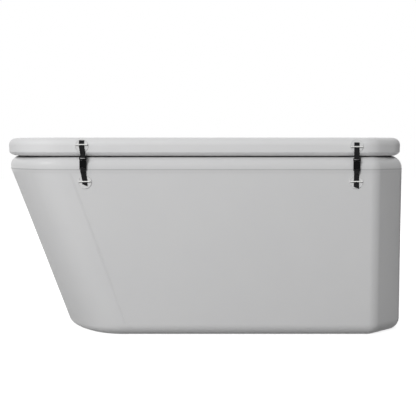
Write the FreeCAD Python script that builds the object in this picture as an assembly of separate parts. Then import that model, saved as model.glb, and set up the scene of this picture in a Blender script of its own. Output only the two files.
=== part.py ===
"""Inflatable bathtub with a lid, in mm: origin under the middle of the tub, +X to the foot, +Z up."""

import FreeCAD
import Part

import math
import os

V = FreeCAD.Vector

# Overall sizes of the tub and the lid
tub_length = 1604.0
tub_width = 750.0
tub_height = 700.0
lid_height = 71.0
wall_thickness = 100.0
floor_thickness = 75.0
skin_thickness = 1.2
rim_outer_radius = 48.0
rim_inner_radius = 44.0
bottom_radius = 50.0
nose_rim_outer_radius = 46.0
nose_rim_inner_radius = 54.0
nose_bottom_radius = 24.0
basin_floor_radius = 8.0
basin_corner_radius = 20.0
rim_seam_drop = 50.0
overrun = 20.0
head_slices = 6

# The head end leans outwards and is round in plan, with depths and side radii as shares of half the width
head_lean_degrees = 20.64
head_depth_top_share = 0.792
head_depth_bottom_share = 0.7427
head_side_radius_top_share = 0.632
head_side_radius_bottom_share = 0.592

# The foot end has a chamfered, rounded corner at each side
foot_chamfer_along = 124.0
foot_chamfer_across = 111.0
foot_corner_radius = 50.0

# The lid follows the rim, with a longer and rounder chamfer at the foot
lid_overhang_head = 7.0
lid_overhang_foot = -3.5
lid_chamfer_along = 133.5
lid_chamfer_across = 101.5
lid_corner_radius = 112.0
lid_edge_radius = 30.0
lid_seam_height = 17.0
lid_top_seam_height = 39.0

# Seam tapes
tape_width = 16.0
tape_thickness = 0.5
head_tape_width = 10.0
lid_tape_width = 10.0

# Straps: places of the two at the front, which the back repeats
strap_head_from_bend = 78.0
strap_foot_from_foot = 204.0
strap_head_lid_shift = -5.0
strap_head_tub_shift = 6.0
strap_head_bar_above_rim = 44.0
strap_foot_bar_above_rim = 36.0
strap_tub_bar_below_rim = 97.0
buckle_head_top_below_rim = 3.0
buckle_foot_top_below_rim = 8.0

# Webbing and the welded patches
web_width = 20.0
web_thickness = 1.5
web_gap = 0.3
lid_tail_length = 16.0
tub_tail_short = 12.0
tub_tail_slant = 8.0
tub_tail_foot_extra = 8.0
tub_tail_flat = 11.0
tub_tail_ramp = 6.0
patch_radius = 26.0
patch_thickness = 1.5
patch_rim_width = 1.5
patch_rim_height = 0.8
patch_centre_above_rim = 39.0
patch_centre_below_rim = 99.0
bar_radius = 2.2
bar_length = 46.0
bar_post_width = 3.0

# Side-release buckle, measured down from its top
buckle_length = 48.0
male_width = 27.0
female_width = 25.0
buckle_thickness = 10.0
buckle_standoff = 6.5
buckle_wall = 2.0
buckle_corner = 1.5
buckle_joint_gap = 0.4
male_base_length = 12.0
loop_bar = 2.6
loop_bar_thickness = 4.0
loop_slot = 4.0
loop_slot_width = 20.8
prong_width = 3.0
prong_thickness = 4.4
prong_offset = 7.4
prong_length = 23.0
prong_root_gap = 0.5
prong_ear_length = 10.0
prong_catch_reach = 2.8
prong_ear_reach = 4.0
prong_tip_reach = 1.6
tongue_width = 4.0
tongue_length = 8.0
window_margin = 0.6

# Inflation valves
tub_valve_from_foot = 442.0
tub_valve_below_rim = 140.0
lid_valve_from_foot = 332.0
lid_valve_from_side = 160.0
valve_flange_radius = 29.0
valve_flange_thickness = 3.0
valve_barrel_radius = 24.0
valve_well_radius = 21.0
valve_depth = 34.0
valve_lip_radius = 12.0
valve_lip_depth = 28.0
valve_lip_thickness = 2.0
valve_spider_depth = 17.0
valve_spider_thickness = 2.0
valve_port_radius = 5.5
valve_port_offset = 12.5
valve_port_count = 4
valve_nut_radius = 30.0
valve_nut_thickness = 6.0
valve_pocket = 62.0
valve_pocket_depth = 42.0
running_gap = 0.05
stem_radius = 2.5
button_radius = 7.0
button_thickness = 2.0
button_depth = 5.0
seal_radius = 15.0
seal_thickness = 2.5
spring_radius = 5.0
spring_wire = 0.8
spring_turns = 4
quarters_in_a_turn = 4
valve_cap_radius = 24.0
valve_cap_thickness = 2.0
valve_plug_radius = 20.6
valve_plug_depth = 4.0
valve_plug_wall = 2.0
tether_ring_radius = 31.5
tether_ring_thickness = 1.6
tether_width = 9.0
tether_knuckles = 3
tether_pivot_radius = 34.5
tether_knuckle_radius = 1.1
tether_pivot_height = 2.9
tether_tab_thickness = 1.3
cap_grip_width = 4.0
cap_grip_height = 0.8
cap_grip_length = 32.0

# Drain through the back wall near the foot
drain_from_foot = 282.0
drain_above_floor = 40.0
drain_sleeve_radius = 20.0
drain_bore_radius = 16.0
drain_flange_radius = 32.0
drain_flange_thickness = 3.0
drain_nut_radius = 30.0
drain_nut_thickness = 5.0
drain_window = 42.0
drain_spigot_length = 14.0
drain_cap_wall = 4.0
drain_cap_top = 3.0
drain_cap_rib_count = 16
drain_cap_rib_radius = 1.4
face_gap = 0.3

head_lean = math.radians(head_lean_degrees)
half_length = tub_length / 2
half_width = tub_width / 2
head_depth_top = half_width * head_depth_top_share
head_depth_bottom = half_width * head_depth_bottom_share
head_side_radius_top = half_width * head_side_radius_top_share
head_side_radius_bottom = half_width * head_side_radius_bottom_share
mid_wall = wall_thickness / 2
rim_seam_z = tub_height - rim_seam_drop
lid_top_z = tub_height + lid_height
back = V(0, 1, 0)

# The leaning wall's sharp top edge lies this far outside the widest line of its rounded rim
head_overhang = nose_rim_outer_radius * (math.tan(head_lean) + 1 / math.cos(head_lean) - 1)
nose_top_x = -half_length - head_overhang
nose_bottom_x = nose_top_x + tub_height * math.tan(head_lean)

# The bars stand off the patches by the webbing that passes behind them
web_standoff = patch_thickness + web_gap + web_thickness / 2
bar_standoff = patch_thickness + 2 * web_gap + web_thickness + bar_radius
strap_names = ("head_front", "foot_front", "head_back", "foot_back")


def box(low, high):
    """A box between two corners."""
    return Part.makeBox(high[0] - low[0], high[1] - low[1], high[2] - low[2], V(*low))


def rod(radius, start, end):
    """A round rod between two points."""
    return Part.makeCylinder(radius, (V(*end) - V(*start)).Length, V(*start), V(*end) - V(*start))


def slab(low, high):
    """All the space between two heights."""
    reach = tub_length + overrun
    return box((-reach, -reach, low), (reach, reach, high))


def fused(first, *others):
    """One solid from pieces that touch."""
    return first.fuse(list(others)).removeSplitter()


def mirrored(shape):
    """The same shape on the other side of the tub."""
    return shape.mirror(V(0, 0, 0), back)


def corner_inset(inset, turn):
    """How far a corner that turns by an angle moves back along its first side when both sides move in."""
    return inset * math.tan(turn / 2)


def rounded_path(points, radius):
    """Straight edges through the points, with every inner corner rounded."""
    edges = []
    start = points[0]
    for before, corner, after in zip(points, points[1:], points[2:]):
        back = (before - corner).normalize()
        ahead = (after - corner).normalize()
        half = back.getAngle(ahead) / 2
        reach = radius / math.tan(half)
        middle = corner + (back + ahead).normalize() * (radius / math.sin(half) - radius)
        edges.append(Part.LineSegment(start, corner + back * reach).toShape())
        edges.append(Part.Arc(corner + back * reach, middle, corner + ahead * reach).toShape())
        start = corner + ahead * reach
    edges.append(Part.LineSegment(start, points[-1]).toShape())
    return edges


def head_arcs(x, depth, half, side_radius, z):
    """Four tangent arcs round the head end, from the back wall over the nose to the front wall."""
    nose_radius = (depth**2 + half**2 - 2 * half * side_radius) / (2 * (depth - side_radius))
    nose_centre = V(x - depth + nose_radius, 0, z)
    arcs = []
    for side in (1, -1):
        side_centre = V(x, side * (half - side_radius), z)
        outward = (side_centre - nose_centre).normalize()
        wall_point = V(x, side * half, z)
        joint = nose_centre + outward * nose_radius
        nose = V(x - depth, 0, z)
        side_middle = side_centre + (outward + V(0, side, 0)).normalize() * side_radius
        nose_middle = nose_centre + (outward + V(-1, 0, 0)).normalize() * nose_radius
        pair = [(wall_point, side_middle, joint), (joint, nose_middle, nose)]
        if side < 0:
            pair = [(nose, nose_middle, joint), (joint, side_middle, wall_point)]
        arcs += [Part.Arc(*points).toShape() for points in pair]
    return arcs


def plan(z, straight_x, depth, side_radius, end_x, along, across, corner_radius, inset, head_inset):
    """Closed outline in plan: straight sides, chamfered foot and round head, moved in by an inset."""
    turn = math.atan2(across, along)
    half = half_width - inset
    end = end_x - inset
    first_x = end_x - along - corner_inset(inset, turn)
    second_y = -half_width + across + corner_inset(inset, math.radians(90) - turn)
    foot = [V(straight_x, -half, z), V(first_x, -half, z), V(end, second_y, z)]
    foot += [V(point.x, -point.y, point.z) for point in reversed(foot)]
    edges = rounded_path(foot, corner_radius)
    return Part.Wire(edges + head_arcs(straight_x, depth - head_inset, half, side_radius - inset, z))


def tub_plan(z, inset, corner_radius):
    """The tub's outline at a height."""
    share = z / tub_height
    nose = nose_bottom_x + (nose_top_x - nose_bottom_x) * share
    depth = head_depth_bottom + (head_depth_top - head_depth_bottom) * share
    side_radius = head_side_radius_bottom + (head_side_radius_top - head_side_radius_bottom) * share
    return plan(z, nose + depth, depth, side_radius, half_length, foot_chamfer_along,
                foot_chamfer_across, corner_radius, inset, inset / math.cos(head_lean))


def tub_form(inset, corner_radius, low, high):
    """The solid inside the tub's outline, with sharp edges."""
    return Part.makeLoft([tub_plan(low, inset, corner_radius), tub_plan(high, inset, corner_radius)],
                         True, True)


def straight_x(z):
    """Where the straight side walls begin at a height."""
    top = nose_top_x + head_depth_top
    bottom = nose_bottom_x + head_depth_bottom
    return bottom + (top - bottom) * z / tub_height


def level_edges(solid, z, outside):
    """Numbers and edges of a solid at a height, outside or inside the middle of the wall."""
    middle = Part.Face(tub_plan(z, mid_wall, basin_corner_radius))
    found = []
    for number, edge in enumerate(solid.Edges, 1):
        if any(abs(vertex.Z - z) > Part.Precision.confusion() for vertex in edge.Vertexes):
            continue
        point = edge.valueAt((edge.FirstParameter + edge.LastParameter) / 2)
        if middle.isInside(point, Part.Precision.confusion(), True) != outside:
            found.append((number, edge))
    return found


def blended_radii(edge, upright, at_nose):
    """A round's radius at both ends of an edge: upright along the sides, blending to the nose's."""
    radii = []
    for parameter in (edge.FirstParameter, edge.LastParameter):
        point = edge.valueAt(parameter)
        share = (straight_x(point.z) - point.x) / head_depth_top
        radii.append(upright + (at_nose - upright) * min(max(share, 0), 1))
    return radii


def rounded_edges(solid, rows):
    """The solid with edges rounded: each row is an edge's number and its two end radii."""
    document = FreeCAD.newDocument("rounding")
    base = document.addObject("Part::Feature", "base")
    base.Shape = solid
    fillet = document.addObject("Part::Fillet", "fillet")
    fillet.Base = base
    fillet.Edges = rows
    document.recompute()
    shape = fillet.Shape.copy()
    FreeCAD.closeDocument(document.Name)
    return shape.Solids[0]


def tub_block(depth):
    """Walls and floor as one solid, with every face moved into the material by a depth."""
    high = tub_height - depth
    floor_z = floor_thickness - depth
    outer = tub_form(depth, foot_corner_radius - depth, depth, high)
    void = tub_form(wall_thickness - depth, basin_corner_radius + depth, floor_z, tub_height + overrun)
    block = outer.cut(void)
    rounds = ((high, True, rim_outer_radius, nose_rim_outer_radius),
              (high, False, rim_inner_radius, nose_rim_inner_radius),
              (depth, True, bottom_radius, nose_bottom_radius))
    rows = []
    for z, outside, upright, at_nose in rounds:
        rows += [(number, *blended_radii(edge, upright - depth, at_nose - depth))
                 for number, edge in level_edges(block, z, outside)]
    floor_radius = basin_floor_radius + depth
    rows += [(number, floor_radius, floor_radius) for number, edge in level_edges(block, floor_z, False)]
    return rounded_edges(block, rows)


def lid_block(depth):
    """The lid as one solid, with every face moved inwards by a depth, or outwards by a negative one."""
    start = straight_x(tub_height)
    nose_depth = start + half_length + lid_overhang_head
    levels = (tub_height + depth, lid_top_z - depth)
    wires = [plan(z, start, nose_depth, head_side_radius_top, half_length + lid_overhang_foot,
                  lid_chamfer_along, lid_chamfer_across, lid_corner_radius - depth, depth, depth)
             for z in levels]
    form = Part.makeLoft(wires, True, True)
    radius = lid_edge_radius - depth
    rows = []
    for number, edge in enumerate(form.Edges, 1):
        if abs(edge.Vertexes[0].Z - edge.Vertexes[-1].Z) < Part.Precision.confusion():
            rows.append((number, radius, radius))
    return rounded_edges(form, rows)


def head_side(low, high):
    """All the space on the head's side of the slanted line where the straight walls begin."""
    corners = [(-tub_length, low), (straight_x(low), low), (straight_x(high), high), (-tub_length, high)]
    points = [V(x, -tub_width, z) for x, z in corners]
    return Part.Face(Part.makePolygon(points + points[:1])).extrude(V(0, 2 * tub_width, 0))


def head_wedge(first_degrees, second_degrees, low, high):
    """A slice of the head end between two directions, round a line that leans as the walls do."""
    reach = 2 * tub_width
    wires = []
    for z in (low, high):
        points = [V(straight_x(z), 0, z)]
        for degrees in (first_degrees, second_degrees):
            angle = math.radians(degrees)
            points.append(V(straight_x(z) + reach * math.cos(angle), reach * math.sin(angle), z))
        wires.append(Part.makePolygon(points + points[:1]))
    return Part.makeLoft(wires, True, True)


def valve_place(name):
    """Placement of a fitting whose own axis is +Z and whose seat is at zero."""
    if name == "lid":
        seat = V(half_length - lid_valve_from_foot, half_width - lid_valve_from_side, lid_top_z)
        return FreeCAD.Placement(seat, FreeCAD.Rotation())
    if name == "tub":
        seat = V(half_length - tub_valve_from_foot, half_width, tub_height - tub_valve_below_rim)
    else:
        seat = V(half_length - drain_from_foot, half_width, floor_thickness + drain_above_floor)
    return FreeCAD.Placement(seat, FreeCAD.Rotation(V(0, 0, 1), back))


def placed(shape, name):
    """A fitting's piece moved to its place."""
    moved = shape.copy()
    moved.Placement = valve_place(name)
    return moved


def turned(points):
    """A solid of revolution about Z from radius and height pairs."""
    corners = [V(radius, 0, height) for radius, height in points]
    return Part.Face(Part.makePolygon(corners + corners[:1])).revolve(V(0, 0, 0), V(0, 0, 1), 360)


def ring(inner, outer, low, high):
    """A flat ring about Z."""
    return turned([(inner, low), (outer, low), (outer, high), (inner, high)])


def biarc(start, start_way, end, end_way):
    """Two arcs that meet smoothly and leave and arrive along two unit directions."""
    chord = end - start
    both = start_way + end_way
    bend = 2 * (1 - start_way.dot(end_way))
    reach = (math.sqrt(chord.dot(both)**2 + bend * chord.dot(chord)) - chord.dot(both)) / bend
    joint = (start + start_way * reach + end - end_way * reach) * 0.5
    arcs = []
    for first, second, way in ((start, joint, start_way), (end, joint, end_way * -1)):
        across = second - first
        sideways = across - way * across.dot(way)
        radius = across.dot(across) / (2 * sideways.Length)
        centre = first + sideways.normalize() * radius
        middle = centre + (first + second - centre * 2).normalize() * radius
        points = (first, middle, second) if first is start else (second, middle, first)
        arcs.append(Part.Arc(*points).toShape())
    return arcs


def coil(low, height):
    """The valve's spring: round wire along biarcs of a quarter turn each."""
    quarters = quarters_in_a_turn * spring_turns
    climb = height / (2 * math.pi * spring_turns)
    stations = []
    for number in range(quarters + 1):
        angle = 2 * math.pi * number / quarters_in_a_turn
        point = V(spring_radius * math.cos(angle), spring_radius * math.sin(angle), low + climb * angle)
        stations.append((point, V(-point.y, point.x, climb).normalize()))
    edges = []
    for start, end in zip(stations, stations[1:]):
        edges += biarc(*start, *end)
    print("least gap between the spring's turns", round(height / spring_turns - spring_wire, 2), "mm")
    section = Part.Wire(Part.makeCircle(spring_wire / 2, *stations[0]))
    return Part.Wire(edges).makePipeShell([section], True, False)


def valve_pieces():
    """The pieces of one inflation valve, with the skin's face at height zero."""
    housing = turned([(valve_lip_radius, -valve_lip_depth - valve_lip_thickness),
                      (valve_well_radius, -valve_lip_depth - valve_lip_thickness),
                      (valve_well_radius, -valve_depth), (valve_barrel_radius, -valve_depth),
                      (valve_barrel_radius, 0), (valve_flange_radius, 0),
                      (valve_flange_radius, valve_flange_thickness),
                      (valve_well_radius, valve_flange_thickness),
                      (valve_well_radius, -valve_lip_depth), (valve_lip_radius, -valve_lip_depth)])
    spider_top = -valve_spider_depth
    spider_bottom = spider_top - valve_spider_thickness
    spider = ring(stem_radius + running_gap, valve_well_radius + running_gap, spider_bottom, spider_top)
    for number in range(valve_port_count):
        angle = 2 * math.pi * number / valve_port_count
        x = valve_port_offset * math.cos(angle)
        y = valve_port_offset * math.sin(angle)
        spider = spider.cut(rod(valve_port_radius, (x, y, spider_bottom - overrun), (x, y, overrun)))
    housing = fused(housing, spider)

    nut = ring(valve_barrel_radius + running_gap, valve_nut_radius,
               -skin_thickness - valve_nut_thickness, -skin_thickness)

    seal_top = -valve_lip_depth - valve_lip_thickness - running_gap
    button_bottom = -button_depth - button_thickness
    poppet = fused(rod(stem_radius, (0, 0, seal_top - seal_thickness), (0, 0, -button_depth)),
                   rod(button_radius, (0, 0, button_bottom), (0, 0, -button_depth)),
                   rod(seal_radius, (0, 0, seal_top - seal_thickness), (0, 0, seal_top)))

    spring_low = spider_top + spring_wire / 2 + running_gap
    spring_height = button_bottom - running_gap - spring_wire / 2 - spring_low
    spring = coil(spring_low, spring_height)

    pivot = (tether_pivot_radius, tether_pivot_height)
    knuckle = tether_width / tether_knuckles / 2
    side_face = tether_width / 2
    tether = fused(ring(valve_flange_radius + running_gap, tether_ring_radius, 0, tether_ring_thickness),
                   box((-side_face, -pivot[0], 0),
                       (side_face, -valve_flange_radius - web_gap, tether_ring_thickness)),
                   box((-knuckle, -pivot[0] - tether_knuckle_radius, 0),
                       (knuckle, -pivot[0] + tether_knuckle_radius, pivot[1])),
                   rod(tether_knuckle_radius, (-knuckle, -pivot[0], pivot[1]),
                       (knuckle, -pivot[0], pivot[1])))
    hole = rod(valve_flange_radius + running_gap, (0, 0, -overrun), (0, 0, overrun))
    tether = tether.cut(hole)

    cap_low = valve_flange_thickness + running_gap
    cap_high = cap_low + valve_cap_thickness
    inner_reach = -pivot[0] + tether_knuckle_radius + face_gap
    cap = fused(rod(valve_cap_radius, (0, 0, cap_low), (0, 0, cap_high)),
                ring(valve_plug_radius - valve_plug_wall, valve_plug_radius,
                     cap_low - valve_plug_depth, cap_low),
                box((-cap_grip_length / 2, -cap_grip_width / 2, cap_high),
                    (cap_grip_length / 2, cap_grip_width / 2, cap_high + cap_grip_height)),
                box((-side_face, inner_reach, cap_low),
                    (side_face, -valve_plug_radius, cap_low + tether_tab_thickness)))
    for side in (-1, 1):
        near = side * (knuckle + running_gap)
        far = side * side_face
        low, high = min(near, far), max(near, far)
        cap = fused(cap,
                    box((low, -pivot[0], pivot[1]),
                        (high, inner_reach, cap_low + tether_tab_thickness)),
                    rod(tether_knuckle_radius, (low, -pivot[0], pivot[1]), (high, -pivot[0], pivot[1])))
    return {"valve_housing": housing, "valve_nut": nut, "valve_poppet": poppet,
            "valve_spring": spring, "valve_tether_ring": tether, "valve_cap": cap}


def drain_pieces():
    """The drain's pieces, with the outer skin's face at height zero."""
    inner_end = -wall_thickness - drain_nut_thickness
    body = turned([(drain_bore_radius, inner_end), (drain_sleeve_radius, inner_end),
                   (drain_sleeve_radius, 0), (drain_flange_radius, 0),
                   (drain_flange_radius, drain_flange_thickness),
                   (drain_sleeve_radius, drain_flange_thickness),
                   (drain_sleeve_radius, drain_spigot_length), (drain_bore_radius, drain_spigot_length)])
    nut = ring(drain_sleeve_radius + running_gap, drain_nut_radius, inner_end, -wall_thickness)
    cap_inner = drain_sleeve_radius + running_gap
    cap_outer = cap_inner + drain_cap_wall
    cap_low = drain_flange_thickness + face_gap
    cap_ceiling = drain_spigot_length + running_gap
    cap_high = cap_ceiling + drain_cap_top
    cap = turned([(cap_inner, cap_low), (cap_outer, cap_low), (cap_outer, cap_high), (0, cap_high),
                  (0, cap_ceiling), (cap_inner, cap_ceiling)])
    ribs = []
    for number in range(drain_cap_rib_count):
        angle = 2 * math.pi * number / drain_cap_rib_count
        x = cap_outer * math.cos(angle)
        y = cap_outer * math.sin(angle)
        ribs.append(rod(drain_cap_rib_radius, (x, y, cap_low), (x, y, cap_high)))
    return {"drain_body": body, "drain_nut": nut, "drain_cap": fused(cap, *ribs)}


def fitting_holes():
    """What the valves and the drain take out of the skins."""
    valve_hole = rod(valve_barrel_radius + running_gap, (0, 0, -valve_pocket_depth), (0, 0, overrun))
    drain_end = -wall_thickness - overrun
    drain_hole = rod(drain_sleeve_radius + running_gap, (0, 0, drain_end), (0, 0, overrun))
    return [placed(valve_hole, "tub"), placed(valve_hole, "lid"), placed(drain_hole, "drain")]


def split_round(solids, name, width, depth, across):
    """Core solids cut along the four sides of a fitting's square window, with its pocket left empty."""
    far = 2 * tub_length
    centre = valve_place(name).Base
    half = width / 2
    pocket = placed(box((-half, -half, -depth), (half, half, overrun)), name)
    left, right = centre[0] - half, centre[0] + half
    below, above = centre[across] - half, centre[across] + half
    rows = [(-far, left, -far, far), (right, far, -far, far), (left, right, -far, below),
            (left, right, above, far), (left, right, below, above)]
    cells = []
    for x_low, x_high, low, high in rows:
        start = [x_low, -far, -far]
        end = [x_high, far, far]
        start[across] = low
        end[across] = high
        cells.append(box(start, end))
    window = cells.pop()
    pieces = []
    for solid in solids:
        if not solid.BoundBox.intersect(window.BoundBox):
            pieces.append(solid)
            continue
        for cell in cells:
            pieces += solid.common(cell).Solids
        pieces += solid.common(window).cut(pocket).Solids
    return pieces


def tub_panels():
    """Skins, cores and seam tapes of the tub."""
    block = tub_block(0)
    core = tub_block(skin_thickness)
    top = tub_height + overrun
    rim_space = slab(rim_seam_z, top)
    lower = block.cut(rim_space).cut([core] + fitting_holes())

    base_edge = tub_plan(0, bottom_radius, foot_corner_radius)
    base = Part.Face(base_edge).extrude(V(0, 0, skin_thickness))
    inside = tub_form(mid_wall, basin_corner_radius, floor_thickness / 2, top)
    basin = lower.common(inside)
    outer = lower.cut([inside, base])
    head = head_side(-overrun, top)
    basin_seam_z = floor_thickness + basin_floor_radius
    pieces = {"tub_side_skin": outer.cut(head), "tub_head_skin": outer.common(head),
              "tub_rim_strip": block.common(rim_space).cut(core),
              "tub_basin_skin": basin.common(slab(basin_seam_z, tub_height)),
              "tub_floor_skin": basin.common(slab(0, basin_seam_z)), "tub_base_sheet": base}

    floor_form = tub_form(wall_thickness, basin_corner_radius, 0, floor_thickness - skin_thickness)
    walls = core.cut(floor_form)
    pieces["tub_floor_core"] = core.common(floor_form)
    turn = math.atan2(foot_chamfer_across, foot_chamfer_along)
    corner_x = half_length - foot_chamfer_along - corner_inset(wall_thickness, turn)
    corner_y = half_width - foot_chamfer_across - corner_inset(wall_thickness, math.radians(90) - turn)
    far = tub_length
    straight = walls.cut(head)
    front = box((-far, -far, -overrun), (corner_x, 0, top))
    rear = straight.common(box((-far, 0, -overrun), (corner_x, far, top))).Solids
    rear = split_round(rear, "tub", valve_pocket, valve_pocket_depth, 2)
    rear = split_round(rear, "drain", drain_window, wall_thickness + overrun, 2)
    blocks = [straight.common(front), *rear]
    blocks.append(straight.common(box((corner_x, -far, -overrun), (far, -corner_y, top))))
    blocks.append(straight.common(box((corner_x, -corner_y, -overrun), (far, corner_y, top))))
    blocks.append(straight.common(box((corner_x, corner_y, -overrun), (far, far, top))))
    head_walls = walls.common(head)
    for number in range(head_slices):
        first = 90 + 180 * number / head_slices
        second = 90 + 180 * (number + 1) / head_slices
        blocks.append(head_walls.common(head_wedge(first, second, -overrun, top)))
    pieces["tub_wall_core"] = Part.Compound([solid for piece in blocks for solid in piece.Solids])

    tape_low = rim_seam_z - tape_width
    band = tub_form(-tape_thickness, foot_corner_radius + tape_thickness, 0, tub_height)
    band = band.cut(tub_form(0, foot_corner_radius, 0, tub_height)).common(slab(tape_low, rim_seam_z))
    corners = [(straight_x(bottom_radius), bottom_radius), (straight_x(tape_low), tape_low)]
    corners += [(x + head_tape_width, z) for x, z in reversed(corners)]
    points = [V(x, -half_width, z) for x, z in corners]
    strip = Part.Face(Part.makePolygon(points + points[:1])).extrude(V(0, -tape_thickness, 0))
    pieces["tub_seam_tapes"] = Part.Compound([band.Solids[0], strip, mirrored(strip)])
    return pieces


def lid_panels():
    """Skins, core and seam tape of the lid."""
    block = lid_block(0)
    core = lid_block(skin_thickness)
    skin = block.cut([core] + fitting_holes())
    core_solids = split_round(core.Solids, "lid", valve_pocket, valve_pocket_depth, 1)
    low = tub_height + lid_seam_height
    high = tub_height + lid_top_seam_height
    tape = lid_block(-tape_thickness).cut(block).common(slab(low, low + lid_tape_width))
    spots = []
    for name in strap_names:
        strap = strap_place(name)
        centre = (strap["lid_x"], 0, tub_height + patch_centre_above_rim)
        end = (strap["lid_x"], strap["side"] * tub_width, centre[2])
        spots.append(rod(patch_radius + running_gap, centre, end))
    return {"lid_bottom_skin": skin.common(slab(0, low)), "lid_edge_strip": skin.common(slab(low, high)),
            "lid_top_skin": skin.common(slab(high, lid_top_z + overrun)),
            "lid_core": Part.Compound(core_solids),
            "lid_seam_tape": tape.cut(spots)}


def tub_tail(x, face_y, bar_z, short):
    """The cut end of the lower webbing: flat on the patch, then stepped out over the patch's raised edge."""
    inner = face_y - patch_thickness - web_gap
    raised = inner - patch_rim_height
    half = web_width / 2
    ramp_z = bar_z - tub_tail_flat
    raised_z = ramp_z - tub_tail_ramp
    end_z = bar_z - short - tub_tail_slant
    inside = [(inner, bar_z), (inner, ramp_z), (raised, raised_z), (raised, end_z)]
    outside = [(y - web_thickness, z) for y, z in reversed(inside)]
    points = [V(x - half, y, z) for y, z in inside + outside]
    strip = Part.Face(Part.makePolygon(points + points[:1])).extrude(V(web_width, 0, 0))
    corners = [(x - half, bar_z), (x - half, bar_z - short), (x + half, end_z), (x + half, bar_z)]
    points = [V(at, face_y, z) for at, z in corners]
    window = Part.Face(Part.makePolygon(points + points[:1])).extrude(V(0, -buckle_thickness, 0))
    return strip.common(window)


def strap_place(name):
    """Where a strap lies: its side and the places of its patches, bars and buckle."""
    at_head = name.startswith("head")
    x = straight_x(tub_height) + strap_head_from_bend if at_head else half_length - strap_foot_from_foot
    above = strap_head_bar_above_rim if at_head else strap_foot_bar_above_rim
    drop = buckle_head_top_below_rim if at_head else buckle_foot_top_below_rim
    return {"side": -1 if name.endswith("front") else 1, "x": x,
            "lid_x": x + (strap_head_lid_shift if at_head else 0),
            "tub_x": x + (strap_head_tub_shift if at_head else 0),
            "tail": tub_tail_short + (0 if at_head else tub_tail_foot_extra),
            "lid_bar_z": tub_height + above, "tub_bar_z": tub_height - strap_tub_bar_below_rim,
            "buckle_z": tub_height - drop}


def on_side(shape, name):
    """A piece drawn on the front, moved to the strap's own side."""
    return shape if name.endswith("front") else mirrored(shape)


def bar_piece(x, z):
    """A round bar across a patch, on two posts that stand on it."""
    axis_y = -half_width - bar_standoff
    half = bar_length / 2
    pieces = [rod(bar_radius, (x - half, axis_y, z), (x + half, axis_y, z))]
    for near, far in ((-half, -half + bar_post_width), (half - bar_post_width, half)):
        pieces.append(box((x + near, axis_y, z - bar_radius),
                          (x + far, -half_width - patch_thickness, z + bar_radius)))
    return fused(*pieces)


def web_run(start, end):
    """Flat webbing between two points, each the middle of its thickness."""
    wires = []
    for x, y, z in (start, end):
        points = [V(x + across * web_width / 2, y + out * web_thickness / 2, z)
                  for across, out in ((-1, -1), (1, -1), (1, 1), (-1, 1))]
        wires.append(Part.makePolygon(points + points[:1]))
    return Part.makeLoft(wires, True, True)


def web_loop(x, y, bar_middle_z):
    """Webbing folded round a buckle's end bar."""
    half = web_width / 2
    inner_y = loop_bar_thickness / 2 + web_gap
    inner_z = loop_bar / 2 + web_gap
    outer = box((x - half, y - inner_y - web_thickness, bar_middle_z - inner_z - web_thickness),
                (x + half, y + inner_y + web_thickness, bar_middle_z + inner_z + web_thickness))
    return outer.cut(box((x - half - overrun, y - inner_y, bar_middle_z - inner_z),
                         (x + half + overrun, y + inner_y, bar_middle_z + inner_z)))


def frame_end(width, x, y, low, high, bar_low, opening_low, opening_high):
    """A buckle's webbing end: a block cut open between its side rails, and a thin bar across it."""
    half = buckle_thickness / 2
    half_slot = loop_slot_width / 2
    body = rounded_posts(box((x - width / 2, y - half, low), (x + width / 2, y + half, high)))
    opening = box((x - half_slot, y - half - overrun, opening_low),
                  (x + half_slot, y + half + overrun, opening_high))
    bar = box((x - width / 2 + buckle_wall / 2, y - loop_bar_thickness / 2, bar_low),
              (x + width / 2 - buckle_wall / 2, y + loop_bar_thickness / 2, bar_low + loop_bar))
    return fused(body.cut(opening), bar)


def rounded_posts(body):
    """A block with its four upright edges rounded."""
    upright = [edge for edge in body.Edges
               if abs(edge.Vertexes[0].Z - edge.Vertexes[-1].Z) > buckle_corner]
    return body.makeFillet(buckle_corner, upright)


def buckle_pieces(x, top):
    """The two halves and the two prongs of a side-release buckle on the front."""
    y = -half_width - buckle_standoff
    half = buckle_thickness / 2
    base_low = top - male_base_length
    male = frame_end(male_width, x, y, base_low, top, top - loop_bar,
                     top - loop_bar - loop_slot, top + overrun)
    tongue = box((x - tongue_width / 2, y - prong_thickness / 2, base_low - tongue_length),
                 (x + tongue_width / 2, y + prong_thickness / 2, base_low))
    male = fused(male, tongue)

    bottom = top - buckle_length
    shell_top = base_low - buckle_joint_gap
    female = frame_end(female_width, x, y, bottom, shell_top, bottom,
                       bottom - overrun, bottom + loop_bar + loop_slot)
    cavity_low = bottom + loop_bar + loop_slot + buckle_wall
    cavity_x = female_width / 2 - buckle_wall
    cavity_y = half - buckle_wall
    female = female.cut(box((x - cavity_x, y - cavity_y, cavity_low), (x + cavity_x, y + cavity_y, top)))
    root_z = base_low - prong_root_gap - prong_width / 2
    tip_z = base_low - prong_root_gap - prong_length
    ear_top = tip_z + prong_ear_length
    female = female.cut(box((x - female_width, y - cavity_y, tip_z - window_margin),
                            (x + female_width, y + cavity_y, ear_top + window_margin)))
    prongs = []
    for side in (-1, 1):
        middle = prong_offset * side
        inner = middle - side * prong_width / 2
        outer = middle + side * prong_width / 2
        corners = [(inner, root_z), (inner, tip_z), (outer + side * prong_tip_reach, tip_z),
                   (outer + side * prong_ear_reach, (tip_z + ear_top) / 2),
                   (outer + side * prong_catch_reach, ear_top), (outer, ear_top), (outer, root_z)]
        points = [V(x + across, y - prong_thickness / 2, z) for across, z in corners]
        arm = Part.Face(Part.makePolygon(points + points[:1])).extrude(V(0, prong_thickness, 0))
        root = rod(prong_width / 2, (x + middle, y - prong_thickness / 2, root_z),
                   (x + middle, y + prong_thickness / 2, root_z))
        prongs.append(fused(arm, root))
    return male, female, prongs


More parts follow.
